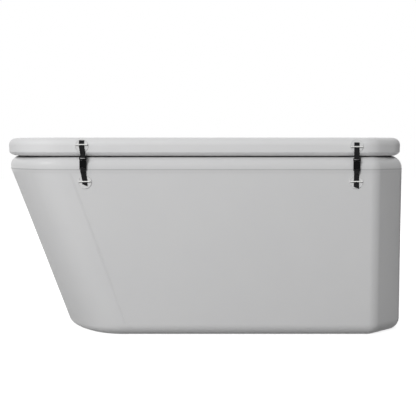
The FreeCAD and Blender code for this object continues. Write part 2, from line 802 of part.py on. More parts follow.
def strap_pieces():
    """Patches, bars, tails, webbing and buckles of all four straps."""
    pieces = {}
    groups = {"tub_strap_patches": [], "tub_strap_bars": [], "tub_strap_tails": [],
              "lid_strap_patches": [], "lid_strap_bars": [], "lid_strap_tails": []}
    lid_surface = lid_block(0)
    patch_low = lid_block(-patch_thickness)
    patch_high = lid_block(-patch_thickness - patch_rim_height)
    tail_inner = lid_block(-patch_thickness - web_gap)
    tail_outer = lid_block(-patch_thickness - web_gap - web_thickness)
    inner_radius = patch_radius - patch_rim_width
    for name in strap_names:
        strap = strap_place(name)
        face_y = -half_width
        lid_z = tub_height + patch_centre_above_rim
        tub_z = tub_height - patch_centre_below_rim
        lid_x, tub_x = strap["lid_x"], strap["tub_x"]

        spot = rod(patch_radius, (lid_x, face_y - overrun, lid_z), (lid_x, face_y + overrun, lid_z))
        middle = rod(inner_radius, (lid_x, face_y - overrun, lid_z), (lid_x, face_y + overrun, lid_z))
        patch = fused(patch_low.common(middle), patch_high.common(spot.cut(middle)))
        groups["lid_strap_patches"].append(on_side(patch.cut(lid_surface), name))
        patch = rod(patch_radius, (tub_x, face_y, tub_z), (tub_x, face_y - patch_thickness, tub_z))
        rim = rod(patch_radius, (tub_x, face_y, tub_z),
                  (tub_x, face_y - patch_thickness - patch_rim_height, tub_z))
        rim = rim.cut(rod(inner_radius, (tub_x, face_y, tub_z), (tub_x, face_y - overrun, tub_z)))
        groups["tub_strap_patches"].append(on_side(fused(patch, rim), name))

        groups["lid_strap_bars"].append(on_side(bar_piece(lid_x, strap["lid_bar_z"]), name))
        groups["tub_strap_bars"].append(on_side(bar_piece(tub_x, strap["tub_bar_z"]), name))

        half = web_width / 2
        tail_box = box((lid_x - half, face_y - overrun, strap["lid_bar_z"]),
                       (lid_x + half, face_y + overrun, strap["lid_bar_z"] + lid_tail_length))
        groups["lid_strap_tails"].append(on_side(tail_outer.common(tail_box).cut(tail_inner), name))
        bar_z = strap["tub_bar_z"]
        groups["tub_strap_tails"].append(on_side(tub_tail(tub_x, face_y, bar_z, strap["tail"]), name))

        web_y = face_y - web_standoff
        buckle_y = face_y - buckle_standoff
        top = strap["buckle_z"]
        bottom = top - buckle_length
        loop_reach = web_gap + web_thickness / 2
        upper = fused(web_run((lid_x, web_y, strap["lid_bar_z"]), (strap["x"], buckle_y, top + loop_reach)),
                      web_loop(strap["x"], buckle_y, top - loop_bar / 2))
        lower = fused(web_run((tub_x, web_y, bar_z), (strap["x"], buckle_y, bottom - loop_reach)),
                      web_loop(strap["x"], buckle_y, bottom + loop_bar / 2))
        male, female, prongs = buckle_pieces(strap["x"], top)
        for node, shape in (("webbing_upper", upper), ("webbing_lower", lower), ("buckle_male", male),
                            ("buckle_female", female), ("prong_headward", prongs[0]),
                            ("prong_footward", prongs[1])):
            pieces[f"{node}_{name}"] = on_side(shape, name)
    for node, solids in groups.items():
        pieces[node] = Part.Compound([solid for shape in solids for solid in shape.Solids])
    return pieces


def all_pieces():
    """Every piece under its node's name."""
    pieces = tub_panels()
    pieces.update(lid_panels())
    pieces.update(strap_pieces())
    for node, shape in valve_pieces().items():
        for name in ("tub", "lid"):
            pieces[f"{name}_{node}"] = placed(shape, name)
    for node, shape in drain_pieces().items():
        pieces[node] = placed(shape, "drain")
    return pieces


if __name__ == "__main__":
    os.makedirs("parts", exist_ok=True)
    for node, shape in sorted(all_pieces().items()):
        solids = shape.Solids
        state = "valid" if shape.isValid() else "not valid"
        print(node, len(solids), state, round(shape.Volume), "mm3")
        whole = solids[0] if len(solids) == 1 else Part.Compound(solids)
        whole.exportStep(f"parts/{node}.step")
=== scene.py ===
"""Looks of an inflatable bathtub with a strapped-on lid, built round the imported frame, in metres."""

import math

import bmesh
import bpy
from mathutils import Matrix, Vector
from mathutils.bvhtree import BVHTree


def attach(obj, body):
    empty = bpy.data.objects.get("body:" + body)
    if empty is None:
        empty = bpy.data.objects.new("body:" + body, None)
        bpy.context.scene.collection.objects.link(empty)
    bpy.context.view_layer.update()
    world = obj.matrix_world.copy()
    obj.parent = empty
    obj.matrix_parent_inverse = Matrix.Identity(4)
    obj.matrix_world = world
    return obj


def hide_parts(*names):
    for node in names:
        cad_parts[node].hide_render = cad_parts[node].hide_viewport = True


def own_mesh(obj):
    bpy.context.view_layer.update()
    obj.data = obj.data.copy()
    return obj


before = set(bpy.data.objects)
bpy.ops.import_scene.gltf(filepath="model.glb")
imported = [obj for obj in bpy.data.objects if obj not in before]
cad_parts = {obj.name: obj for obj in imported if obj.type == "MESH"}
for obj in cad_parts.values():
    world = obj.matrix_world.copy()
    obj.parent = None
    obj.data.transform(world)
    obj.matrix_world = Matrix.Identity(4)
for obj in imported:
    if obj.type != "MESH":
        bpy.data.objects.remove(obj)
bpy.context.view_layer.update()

mm = 0.001


# The tub's outer skin: coated PVC fabric round the long walls and the chamfered foot end.
# The fabric is cut flat and welded along its edges, and air between the skins pulls it tight,
# so the walls are flat, every edge is a round, and the cloth's weave only just shows.
tub_height = 700 * mm
half_width = 375 * mm
half_length = 802 * mm
wall = 100 * mm
floor_top = 75 * mm
skin = 1.2 * mm
rim_seam = 650 * mm
lean = math.radians(20.64)
nose_top = -822.5 * mm
nose_bottom = nose_top + tub_height * math.tan(lean)
head_depth_top = 297 * mm
head_depth_bottom = 278.5 * mm
head_side_radius = 237 * mm
foot_along = 124 * mm
foot_across = 111 * mm
foot_radius = 50 * mm
foot_bend = 62 * mm
basin_corner_radius = 20 * mm
outer_rim_reach = 48 * mm
outer_rim_reach_at_nose = 65 * mm
inner_rim_reach = 44 * mm
inner_rim_reach_at_nose = 34 * mm
bottom_reach = 49 * mm
bottom_reach_at_nose = 16.6 * mm
basin_floor_reach = 8 * mm
merge_distance = 0.01 * mm
OUTER, CROWN, BASIN, FLOOR, BASE = range(5)


def linear(colour):
    """An sRGB hex colour as the linear values of a shader socket."""
    shares = [int(colour[at:at + 2], 16) / 255 for at in (1, 3, 5)]
    return [c / 12.92 if c <= 0.04045 else ((c + 0.055) / 1.055) ** 2.4 for c in shares] + [1]


def add_node(tree, kind, settings=(), links=()):
    """A new shader node with its own settings, its sockets' values and its incoming links."""
    node = tree.nodes.new(kind)
    for name, value in dict(settings).items():
        if hasattr(node, name):
            setattr(node, name, value)
        else:
            node.inputs[name].default_value = value
    for name, output in dict(links).items():
        tree.links.new(output, node.inputs[name])
    return node


def new_material(name):
    """An empty node material and its tree."""
    material = bpy.data.materials.new(name)
    material.use_nodes = True
    material.node_tree.nodes.clear()
    return material, material.node_tree


def bands(spacing):
    """The scale of a wave texture whose bands are a distance apart."""
    return math.pi / (10 * spacing)


def coated_fabric(name, colour, shade, roughness, thread, relief, gloss=0.25):
    """PVC-coated fabric: an even colour with faint clouds, and the cloth's threads under a satin coat."""
    material, tree = new_material(name)
    cloud = 180 * mm
    place = add_node(tree, "ShaderNodeTexCoord").outputs["Object"]
    clouds = add_node(tree, "ShaderNodeTexNoise", {"Scale": 1 / cloud, "Detail": 3.0}, {"Vector": place})
    tone = add_node(tree, "ShaderNodeMix", {"data_type": "RGBA"}, {"Factor": clouds.outputs["Fac"]})
    tone.inputs["A"].default_value = linear(colour)
    tone.inputs["B"].default_value = linear(shade)
    waves = [add_node(tree, "ShaderNodeTexWave", {"bands_direction": axis, "Scale": bands(thread)},
                      {"Vector": place}).outputs["Fac"] for axis in ("X", "Y", "Z")]
    pair = add_node(tree, "ShaderNodeMath", {"operation": "ADD"}, {0: waves[0], 1: waves[1]})
    weave = add_node(tree, "ShaderNodeMath", {"operation": "ADD"}, {0: pair.outputs[0], 1: waves[2]})
    bump = add_node(tree, "ShaderNodeBump", {"Strength": relief, "Distance": 0.1 * mm},
                    {"Height": weave.outputs[0]})
    surface = add_node(tree, "ShaderNodeBsdfPrincipled",
                       {"Roughness": roughness, "IOR": 1.53, "Specular IOR Level": gloss},
                       {"Base Color": tone.outputs["Result"], "Normal": bump.outputs["Normal"]})
    add_node(tree, "ShaderNodeOutputMaterial", (), {"Surface": surface.outputs[0]})
    return material


def arc(bm, start, centre, turn, steps):
    """Spins a vertex round an upright axis and gives the last vertex of the arc."""
    made = bmesh.ops.spin(bm, geom=[start], cent=centre, axis=(0, 0, 1), angle=turn, steps=steps)
    return [part for part in made["geom_last"] if isinstance(part, bmesh.types.BMVert)][0]


def plan_loop(bm, z, inset, corner_radius, straight, depth, side_radius, end, along, across, bend=None):
    """A closed loop in plan: straight sides, chamfered foot and round head, moved in by an inset.
    The corner between side and chamfer turns in a bend of its own radius, where one is given."""
    old = set(bm.verts)
    turn = math.atan2(across, along)
    rest = math.radians(90) - turn
    half = half_width - inset
    nose_radius = (depth**2 + half**2 - 2 * half * side_radius) / (2 * (depth - side_radius))
    tilt = math.atan2(half - side_radius, nose_radius - depth)
    vert = bm.verts.new((straight - depth, 0, z))
    vert = arc(bm, vert, (straight - depth + nose_radius, 0, z), tilt, 16)
    vert = arc(bm, vert, (straight, side_radius - half, z), math.radians(90) - tilt, 12)
    corner_x = end - along - inset * math.tan(turn / 2)
    wall_corner = bm.verts.new((corner_x, -half, z))
    bm.edges.new((vert, wall_corner))
    foot_corner = bm.verts.new((end - inset, inset * math.tan(rest / 2) + across - half_width, z))
    bm.edges.new((wall_corner, foot_corner))
    bm.edges.new((foot_corner, bm.verts.new((end - inset, 0, z))))
    for corner, radius, swing in ((wall_corner, bend or corner_radius, turn),
                                  (foot_corner, corner_radius, rest)):
        bmesh.ops.bevel(bm, geom=[corner], offset=radius * math.tan(swing / 2), offset_type="OFFSET",
                        affect="VERTICES", segments=8, profile=0.5, material=-1)
    verts = [vert for vert in bm.verts if vert not in old]
    edges = list({edge for vert in verts for edge in vert.link_edges})
    bmesh.ops.mirror(bm, geom=verts + edges, matrix=Matrix.Identity(4), merge_dist=merge_distance,
                     axis="Y")
    verts = [vert for vert in bm.verts if vert not in old]
    return list({edge for vert in verts for edge in vert.link_edges})


def straight_at(z):
    """Where the straight side walls begin at a height."""
    top = nose_top + head_depth_top
    bottom = nose_bottom + head_depth_bottom
    return bottom + (top - bottom) * z / tub_height


def head_depth_at(z, inset):
    """How far the round head end reaches beyond the straight walls at a height."""
    share = z / tub_height
    return head_depth_bottom + (head_depth_top - head_depth_bottom) * share - inset / math.cos(lean)


def lowered(bm, edges, z, inset):
    """Draws a wall down from the loop of its top edge, leaning at the head; gives its bottom edges."""
    made = bmesh.ops.extrude_edge_only(bm, edges=edges)["geom"]
    verts = [part for part in made if isinstance(part, bmesh.types.BMVert)]
    bmesh.ops.translate(bm, verts=verts, vec=(0, 0, z - tub_height))
    top = straight_at(tub_height)
    head = [vert for vert in verts if vert.co.x < top + mm]
    ratio = head_depth_at(z, inset) / head_depth_at(tub_height, inset)
    bmesh.ops.scale(bm, verts=head, vec=(ratio, 1, 1), space=Matrix.Translation((-top, 0, 0)))
    bmesh.ops.translate(bm, verts=head, vec=(straight_at(z) - top, 0, 0))
    return [part for part in made if isinstance(part, bmesh.types.BMEdge)
            and abs(part.verts[0].co.z - z) < mm and abs(part.verts[1].co.z - z) < mm]


def rounded(bm, edges, reach, steps, nose_reach):
    """Rounds a loop of edges; reach is how far the round runs onto each face. Where the head begins
    the round follows the wall's lean. It blends to the nose reach along the head end, by growing
    from the sharp edge that was."""
    corners = [vert.co.copy() for vert in {vert for edge in edges for vert in edge.verts}]
    made = bmesh.ops.bevel(bm, geom=edges, offset=reach, offset_type="OFFSET", affect="EDGES",
                           segments=steps, profile=0.5, material=-1)
    slope = (straight_at(0) - straight_at(tub_height)) / tub_height
    for vert in made["verts"]:
        corner = min(corners, key=lambda point: (point - vert.co).length)
        if abs(corner.x - straight_at(corner.z)) < mm and abs(vert.co.x - corner.x) < merge_distance:
            vert.co.x += (corner.z - vert.co.z) * slope
        share = min(max((straight_at(corner.z) - corner.x) / head_depth_top, 0), 1)
        vert.co = corner.lerp(vert.co, 1 + share * (nose_reach / reach - 1))


def marked(bm, faces, kind):
    """Marks faces with the part of the tub that they belong to."""
    for face in faces:
        face.material_index = kind


tub = bmesh.new()
outer_top = plan_loop(tub, tub_height, 0, foot_radius, straight_at(tub_height), head_depth_top,
                      head_side_radius, half_length, foot_along, foot_across, foot_bend)
outer_bottom = lowered(tub, outer_top, 0, 0)
marked(tub, tub.faces, OUTER)
old = set(tub.faces)
bmesh.ops.holes_fill(tub, edges=outer_bottom, sides=0)
marked(tub, set(tub.faces) - old, BASE)
old = set(tub.faces)
inner_top = plan_loop(tub, tub_height, wall, basin_corner_radius, straight_at(tub_height),
                      head_depth_at(tub_height, wall), head_side_radius - wall, half_length, foot_along,
                      foot_across)
inner_bottom = lowered(tub, inner_top, floor_top, wall)
marked(tub, set(tub.faces) - old, BASIN)
old = set(tub.faces)
bmesh.ops.holes_fill(tub, edges=inner_bottom, sides=0)
marked(tub, set(tub.faces) - old, FLOOR)
old = set(tub.faces)
bmesh.ops.bridge_loops(tub, edges=outer_top + inner_top)
marked(tub, set(tub.faces) - old, CROWN)
bmesh.ops.recalc_face_normals(tub, faces=tub.faces)
rounded(tub, outer_top, outer_rim_reach, 14, outer_rim_reach_at_nose)
rounded(tub, inner_top, inner_rim_reach, 14, inner_rim_reach_at_nose)
rounded(tub, outer_bottom, bottom_reach, 12, bottom_reach_at_nose)
rounded(tub, inner_bottom, basin_floor_reach, 4, basin_floor_reach)


def punch(bm, centre, radius):
    """Cuts a round hole out of the flat face at a place, by trimming that face along the hole's tangents."""
    bm.faces.ensure_lookup_table()
    face = bm.faces[BVHTree.FromBMesh(bm).find_nearest(centre)[2]]
    out = face.normal.orthogonal().normalized()
    sides = 32
    turn = Matrix.Rotation(math.radians(360 / sides), 3, face.normal)
    for step in range(sides):
        edge_point = Vector(centre) + out * radius
        made = bmesh.ops.bisect_plane(bm, geom=[face] + face.edges[:] + face.verts[:], plane_co=edge_point,
                                      plane_no=out)
        inside = [part for part in made["geom"] if isinstance(part, bmesh.types.BMFace)
                  and (part.calc_center_median() - edge_point).dot(out) < 0]
        face = inside[0]
        out = turn @ out
    bmesh.ops.delete(bm, geom=[face], context="FACES")


def skin_piece(form, name, kinds, cuts, thickness, outward=-1, holes=()):
    """One cloth of a form: the kinds of face that it has, cut by planes, with the cloth's thickness."""
    bm = form.copy()
    bmesh.ops.delete(bm, geom=[face for face in bm.faces if face.material_index not in kinds],
                     context="FACES")
    for point, normal in cuts:
        bmesh.ops.bisect_plane(bm, geom=bm.verts[:] + bm.edges[:] + bm.faces[:], plane_co=point,
                               plane_no=normal, clear_inner=True, dist=merge_distance)
    for centre, radius in holes:
        punch(bm, centre, radius)
    marked(bm, bm.faces, 0)
    piece = made_piece(bm, name)
    cloth = piece.modifiers.new("cloth", "SOLIDIFY")
    cloth.thickness = thickness
    cloth.offset = outward
    return piece


def made_piece(bm, name):
    """A new object from a bmesh, smooth but for edges that turn sharply."""
    for face in bm.faces:
        face.smooth = True
    for edge in bm.edges:
        edge.smooth = len(edge.link_faces) == 2 and edge.calc_face_angle() < math.radians(13)
    mesh = bpy.data.meshes.new(name)
    bm.to_mesh(mesh)
    bm.free()
    piece = bpy.data.objects.new(name, mesh)
    bpy.context.scene.collection.objects.link(piece)
    return piece


def fitted(piece, material, body, slot, *nodes):
    """Gives a piece its material and the body that it rides on, and hides the nodes that it stands for. The
    slot is not used.
    """
    piece.data.materials.append(material)
    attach(piece, body)
    if nodes:
        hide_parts(*nodes)
    return piece


# The cloth's threads are drawn coarser than the real ones, so that they show at all.
thread = 1.4 * mm
base_turn_up = 3 * mm
tub_grey = coated_fabric("pvc_coated_fabric_grey", "#C7C7C7", "#C4C4C5", 0.5, thread, 0.12, 0.12)
below_seam = ((0, 0, rim_seam), (0, 0, -1))
above_base = ((0, 0, base_turn_up), (0, 0, 1))
slant = Vector((straight_at(tub_height) - straight_at(0), 0, tub_height)).normalized()
footward = ((straight_at(0), 0, 0), (slant.z, 0, -slant.x))
headward = (footward[0], (-slant.z, 0, slant.x))
tub_valve = (360 * mm, half_width, tub_height - 140 * mm)
drain = (520 * mm, half_width, floor_top + 40 * mm)
valve_hole = 24.2 * mm
drain_hole = 20.2 * mm
side_skin = skin_piece(tub, "tub_side_cloth", (OUTER, BASE), (below_seam, above_base, footward), skin,
                       holes=((tub_valve, valve_hole), (drain, drain_hole)))
fitted(side_skin, tub_grey, "tub", "grey_pvc", "tub_side_skin", "tub_wall_core")


# The head end's cloth: one sheet bent round the nose and leaning outwards with it, welded to the
# side walls along a slanted line. The air pulls it as tight as the flat walls.
head_skin = skin_piece(tub, "tub_head_cloth", (OUTER, BASE), (below_seam, above_base, headward), skin)
fitted(head_skin, tub_grey, "tub", "grey_pvc", "tub_head_skin")


# The rim: a strip of the same cloth that turns over the top of the wall in one round, welded to
# the outer and the inner cloth 50 mm below the top. Stretched round, it is glossier than the walls.
rim_grey = coated_fabric("pvc_coated_fabric_rim", "#C4C4C4", "#C1C1C2", 0.3, thread, 0.1, 0.5)
rim = skin_piece(tub, "tub_rim_cloth", (OUTER, CROWN, BASIN), (((0, 0, rim_seam), (0, 0, 1)),), skin)
fitted(rim, rim_grey, "tub", "rim_pvc", "tub_rim_strip")


# The basin's lining: paler cloth down the inside of the walls, and a floor sheet that turns up at
# its edge and is welded to it.
lining = coated_fabric("pvc_lining_pale", "#D2D3D4", "#CFCFD0", 0.4, thread, 0.1)
basin_seam = floor_top + basin_floor_reach
basin_drain = (drain[0], half_width - wall, drain[2])
basin = skin_piece(tub, "tub_basin_cloth", (BASIN, FLOOR), (below_seam, ((0, 0, basin_seam), (0, 0, 1))),
                   skin, holes=((basin_drain, drain_hole),))
fitted(basin, lining, "tub", "inner_pvc", "tub_basin_skin")
basin_floor = skin_piece(tub, "tub_floor_cloth", (BASIN, FLOOR), (((0, 0, basin_seam), (0, 0, -1)),), skin)
fitted(basin_floor, lining, "tub", "inner_pvc", "tub_floor_skin", "tub_floor_core")


# The base: a heavier dark sheet, calendered flat, that the tub stands on. It turns up by 3 mm at
# its edge, where it is welded to the walls, and shows there as a dark line.
# The same charcoal material also lies under the lid's middle, as painted shade for the gap between lid and
# rim.
charcoal_base_and_gap_shade = coated_fabric("pvc_charcoal_base_and_lid_gap_shade", "#1C1D1E", "#191A1B", 0.7, 3 * mm, 0.5, 0.1)
base = skin_piece(tub, "tub_base_cloth", (BASE, OUTER), (((0, 0, base_turn_up), (0, 0, -1)),), skin)
fitted(base, charcoal_base_and_gap_shade, "tub", "base_pvc", "tub_base_sheet")


# Seam tapes: strips of thin PVC welded over the joints, below the rim and down the two slanted
# lines where the flat walls end. Only their edges show, as fine lines.
tape_grey = coated_fabric("pvc_seam_tape", "#C2C2C2", "#BFBFC0", 0.36, thread, 0.05)
tape_film = 0.5 * mm
tape_low = rim_seam - 16 * mm
slanted_tape_width = 10 * mm
slanted_tape_low = 50 * mm
rim_tape = skin_piece(tub, "tub_rim_seam_tape", (OUTER,), (below_seam, ((0, 0, tape_low), (0, 0, 1))),
                      tape_film, 1)
fitted(rim_tape, tape_grey, "tub", "seam_tape", "tub_seam_tapes")
# The rim weld bead is a darker grey than the tape: painted shade standing for the thin shadow line along the
# rim seam.
painted_seam_shade_grey = coated_fabric("pvc_seam_line_painted_shade", "#AEAEAE", "#ABABAC", 0.5, thread, 0.05)
weld_bead = 0.8 * mm
weld_low = rim_seam - 3.5 * mm
weld = skin_piece(tub, "tub_rim_seam_painted_shade_line", (OUTER,), (below_seam, ((0, 0, weld_low), (0, 0, 1))), weld_bead, 1)
fitted(weld, painted_seam_shade_grey, "tub", "seam_tape")
tape_end = (footward[0][0] + slanted_tape_width, 0, 0)
for side, name in ((-1, "front"), (1, "back")):
    strip = skin_piece(tub, f"tub_slanted_seam_tape_{name}", (OUTER,),
                       (footward, (tape_end, headward[1]), ((0, 0, tape_low), (0, 0, -1)),
                        ((0, 0, slanted_tape_low), (0, 0, 1)), ((0, 0, 0), (0, side, 0))), tape_film, 1)
    fitted(strip, tape_grey, "tub", "seam_tape")


# The lid: a panel of the same make, 71 mm thick, lying on the rim. Top and bottom cloths are welded
# to an edge strip, with a tape over the lower joint. The bottom cloth is a paler grey, painted light
# standing for the floor's bounce under the lid, and a thin dark sheet under the middle is painted
# shade for the dark gap between lid and rim. The straps pull it down, so its side leans in, and the
# underside begins there with a crease.
lid_height = 71 * mm
lid_top = tub_height + lid_height
lid_seam = tub_height + 14 * mm
lid_upper_seam = tub_height + 39 * mm
lid_edge = 30 * mm
lid_widest = lid_top - lid_edge
lid_seam_set_back = 1.5 * mm
lid_under = 36 * mm
lid_under_set_back = 30 * mm
lid_sheet = tub_height + 1 * mm
lid_overhang_at_head = 7 * mm
lid_depth = straight_at(tub_height) + half_length + lid_overhang_at_head
lid_end = half_length - 3.5 * mm
lid_corner_radius = 112 * mm
lid_along = 133.5 * mm
lid_across = 101.5 * mm
lid_tape_width = 10 * mm
lid = bmesh.new()


def set_back(z):
    """How far the lid's side lies behind its widest line at a height."""
    if z > lid_widest:
        return lid_edge - math.sqrt(max(lid_edge**2 - (z - lid_widest)**2, 0))
    if z > lid_seam:
        return lid_seam_set_back * (lid_widest - z) / (lid_widest - lid_seam)
    return lid_under_set_back - math.sqrt(max(lid_under**2 - (tub_height + lid_under - z)**2, 0))


def lid_loop_at(z):
    """The lid's outline at a height, as a closed loop of edges."""
    inset = set_back(z)
    return plan_loop(lid, z, inset, lid_corner_radius - inset, straight_at(tub_height), lid_depth - inset,
                     head_side_radius - inset, lid_end, lid_along, lid_across)


upper_turns = [math.radians(90) * step / 12 for step in range(13)]
levels = [lid_widest + lid_edge * math.cos(turn) for turn in upper_turns] + [lid_seam]
lowest_turn = math.asin(1 - (lid_seam - tub_height) / lid_under)
under_turns = [lowest_turn + (math.radians(90) - lowest_turn) * step / 10 for step in range(1, 11)]
levels += [tub_height + lid_under - lid_under * math.sin(turn) for turn in under_turns]
loops = [lid_loop_at(z) for z in levels]
for above, below in zip(loops, loops[1:]):
    bmesh.ops.bridge_loops(lid, edges=above + below)
for loop in (loops[0], loops[-1]):
    bmesh.ops.holes_fill(lid, edges=loop, sides=0)
marked(lid, lid.faces, OUTER)
bmesh.ops.recalc_face_normals(lid, faces=lid.faces)
lid_grey = coated_fabric("pvc_coated_fabric_lid", "#D0D0D0", "#CDCDCE", 0.5, thread, 0.1)
lid_cloths = {}
lid_valve = (470 * mm, half_width - 160 * mm, lid_top)
# The lid's bottom cloth is paler than the rest of the lid: painted light standing for the floor's bounce on
# its downward round.
painted_bounce_lid_grey = coated_fabric("pvc_lid_underside_painted_bounce", "#E8E8E8", "#E5E5E6", 0.6, thread, 0.1)
for name, node, cuts in (("lid_top_cloth", "lid_top_skin", (((0, 0, lid_upper_seam), (0, 0, 1)),)),
                         ("lid_edge_cloth", "lid_edge_strip", (((0, 0, lid_upper_seam), (0, 0, -1)),
                                                               ((0, 0, lid_seam), (0, 0, 1)))),
                         ("lid_bottom_cloth", "lid_bottom_skin", (((0, 0, lid_seam), (0, 0, -1)),
                                                                  ((0, 0, lid_sheet), (0, 0, 1))))):
    holes = ((lid_valve, valve_hole),) if name == "lid_top_cloth" else ()
    lid_cloths[name] = skin_piece(lid, name, (OUTER,), cuts, skin, holes=holes)
    finish = painted_bounce_lid_grey if name == "lid_bottom_cloth" else lid_grey
    fitted(lid_cloths[name], finish, "lid", "grey_pvc", node)
# A dark sheet under the lid's middle: painted shade that darkens the gap between lid and rim.
painted_gap_shade_sheet = skin_piece(lid, "lid_underside_painted_shade_sheet", (OUTER,), (((0, 0, lid_sheet), (0, 0, -1)),), skin)
fitted(painted_gap_shade_sheet, charcoal_base_and_gap_shade, "lid", "grey_pvc")
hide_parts("lid_core")
lid_tape_top = lid_seam + lid_tape_width
lid_tape = skin_piece(lid, "lid_edge_seam_tape", (OUTER,),
                      (((0, 0, lid_seam), (0, 0, 1)), ((0, 0, lid_tape_top), (0, 0, -1))), tape_film, 1)
fitted(lid_tape, lid_grey, "lid", "seam_tape", "lid_seam_tape")


# Strap anchors: round PVC patches with a raised edge, welded to the lid's rounded side and to the
# tub's wall, each with a white nylon bar on two posts for the webbing to pass behind.
# A strap's places, in mm: along the tub its buckle, lid patch and tub patch, then the heights of the
# lid's bar and of the buckle's upper end, and the length of the tail below the tub's bar.
head_strap = (-447.5, -452.5, -441.5, 744, 697, 14)
foot_strap = (598, 598, 598, 736, 692, 24)
straps = {"head_front": head_strap, "foot_front": foot_strap,
          "head_back": head_strap, "foot_back": foot_strap}
lower_bar = 603 * mm
lid_patch_z = tub_height + 39 * mm
tub_patch_z = tub_height - 99 * mm
patch_radius = 26
patch_film = 1.5 * mm


def moulded(name, colour, roughness, grain, gloss=0.5):
    """Injection-moulded plastic: one even colour with the mould's fine spark-eroded grain."""
    material, tree = new_material(name)
    place = add_node(tree, "ShaderNodeTexCoord").outputs["Object"]
    noise = add_node(tree, "ShaderNodeTexNoise", {"Scale": 1 / grain, "Detail": 2.0}, {"Vector": place})
    bump = add_node(tree, "ShaderNodeBump", {"Strength": 0.15, "Distance": 0.05 * mm},
                    {"Height": noise.outputs["Fac"]})
    surface = add_node(tree, "ShaderNodeBsdfPrincipled",
                       {"Roughness": roughness, "IOR": 1.5, "Specular IOR Level": gloss,
                        "Base Color": linear(colour)}, {"Normal": bump.outputs["Normal"]})
    add_node(tree, "ShaderNodeOutputMaterial", (), {"Surface": surface.outputs[0]})
    return material


def patch(name, x, z, side, on_lid):
    """A round patch turned from its section, then laid on the wall or on the lid's round."""
    bm = bmesh.new()
    steps = [(radius, patch_film) for radius in (0, 8, 14, 20, 23.4)]
    steps += [(24, 2.5 * mm), (24.7, 2.9 * mm), (25.5, 2.5 * mm), (patch_radius, 1.2 * mm), (patch_radius, 0)]
    verts = [bm.verts.new((radius * mm, -height, 0)) for radius, height in steps]
    edges = [bm.edges.new(pair) for pair in zip(verts, verts[1:])]
    bmesh.ops.spin(bm, geom=verts + edges, cent=(0, 0, 0), axis=(0, 1, 0), angle=math.radians(360),
                   steps=48, use_merge=True)
    bmesh.ops.remove_doubles(bm, verts=bm.verts, dist=0.02 * mm)
    bmesh.ops.translate(bm, verts=bm.verts, vec=(x, -half_width, z))
    if on_lid:
        for vert in bm.verts:
            vert.co.y += set_back(vert.co.z)
    if side > 0:
        bmesh.ops.scale(bm, verts=bm.verts, vec=(1, -1, 1))
    bmesh.ops.recalc_face_normals(bm, faces=bm.faces)
    outward = sum(face.normal.y * face.calc_area() for face in bm.faces) * side
    if outward < 0:
        bmesh.ops.reverse_faces(bm, faces=bm.faces)
    return made_piece(bm, name)


def own_solid(node):
    """A part's own solid, its triangles joined."""
    bm = bmesh.new()
    bm.from_mesh(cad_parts[node].data)
    bmesh.ops.remove_doubles(bm, verts=bm.verts, dist=0.002 * mm)
    return bm


def softened(node, name, radius):
    """A moulded part's own solid, its edges rounded as a mould leaves them."""
    bm = own_solid(node)
    bmesh.ops.dissolve_limit(bm, angle_limit=math.radians(0.5), verts=bm.verts, edges=bm.edges)
    piece = made_piece(bm, name)
    edge_round = piece.modifiers.new("mould_round", "BEVEL")
    edge_round.width = radius
    edge_round.segments = 2
    edge_round.limit_method = "ANGLE"
    edge_round.angle_limit = math.radians(38)
    return piece


patch_pvc = moulded("pvc_moulded_patch", "#C6C6C6", 0.35, 2 * mm)
nylon_white = moulded("nylon_white", "#E2E2E0", 0.35, 1 * mm)
for place, sizes in straps.items():
    side = -1 if place.endswith("front") else 1
    lid_patch = patch(f"lid_patch_{place}", sizes[1] * mm, lid_patch_z, side, True)
    fitted(lid_patch, patch_pvc, "lid", "patch_pvc", "lid_strap_patches")
    tub_patch = patch(f"tub_patch_{place}", sizes[2] * mm, tub_patch_z, side, False)
    fitted(tub_patch, patch_pvc, "tub", "patch_pvc", "tub_strap_patches")
for body in ("tub", "lid"):
    fitted(softened(f"{body}_strap_bars", f"{body}_bars", 0.5 * mm), nylon_white, body, "white_bar",
           f"{body}_strap_bars")


# Strap webbing: 20 mm woven polyester, doubled round the end bar of each buckle half. The free
# end passes behind the white bar and stands a little way past it as a cut, heat-sealed tail.
webbing_width = 20 * mm
webbing_thickness = 1.5 * mm


def webbing_cloth(name, colour, shade, pick):
    """Woven webbing: rows of picks across the width, ribs along it, and the dull sheen of yarn."""
    material, tree = new_material(name)
    place = add_node(tree, "ShaderNodeTexCoord").outputs["Object"]
    rows = add_node(tree, "ShaderNodeTexWave", {"bands_direction": "Z", "Scale": bands(pick),
                                                "Distortion": 1.2, "Detail Scale": 3.0}, {"Vector": place})
    ribs = add_node(tree, "ShaderNodeTexWave", {"bands_direction": "X", "Scale": bands(pick)},
                    {"Vector": place})
    weave = add_node(tree, "ShaderNodeMath", {"operation": "MULTIPLY"},
                     {0: rows.outputs["Fac"], 1: ribs.outputs["Fac"]})
    tone = add_node(tree, "ShaderNodeMix", {"data_type": "RGBA"}, {"Factor": weave.outputs[0]})
    tone.inputs["A"].default_value = linear(colour)
    tone.inputs["B"].default_value = linear(shade)
    bump = add_node(tree, "ShaderNodeBump", {"Strength": 0.7, "Distance": 0.3 * mm},
                    {"Height": weave.outputs[0]})
    surface = add_node(tree, "ShaderNodeBsdfPrincipled",
                       {"Roughness": 0.85, "Specular IOR Level": 0.3, "Sheen Weight": 0.06},
                       {"Base Color": tone.outputs["Result"], "Normal": bump.outputs["Normal"]})
    add_node(tree, "ShaderNodeOutputMaterial", (), {"Surface": surface.outputs[0]})
    return material


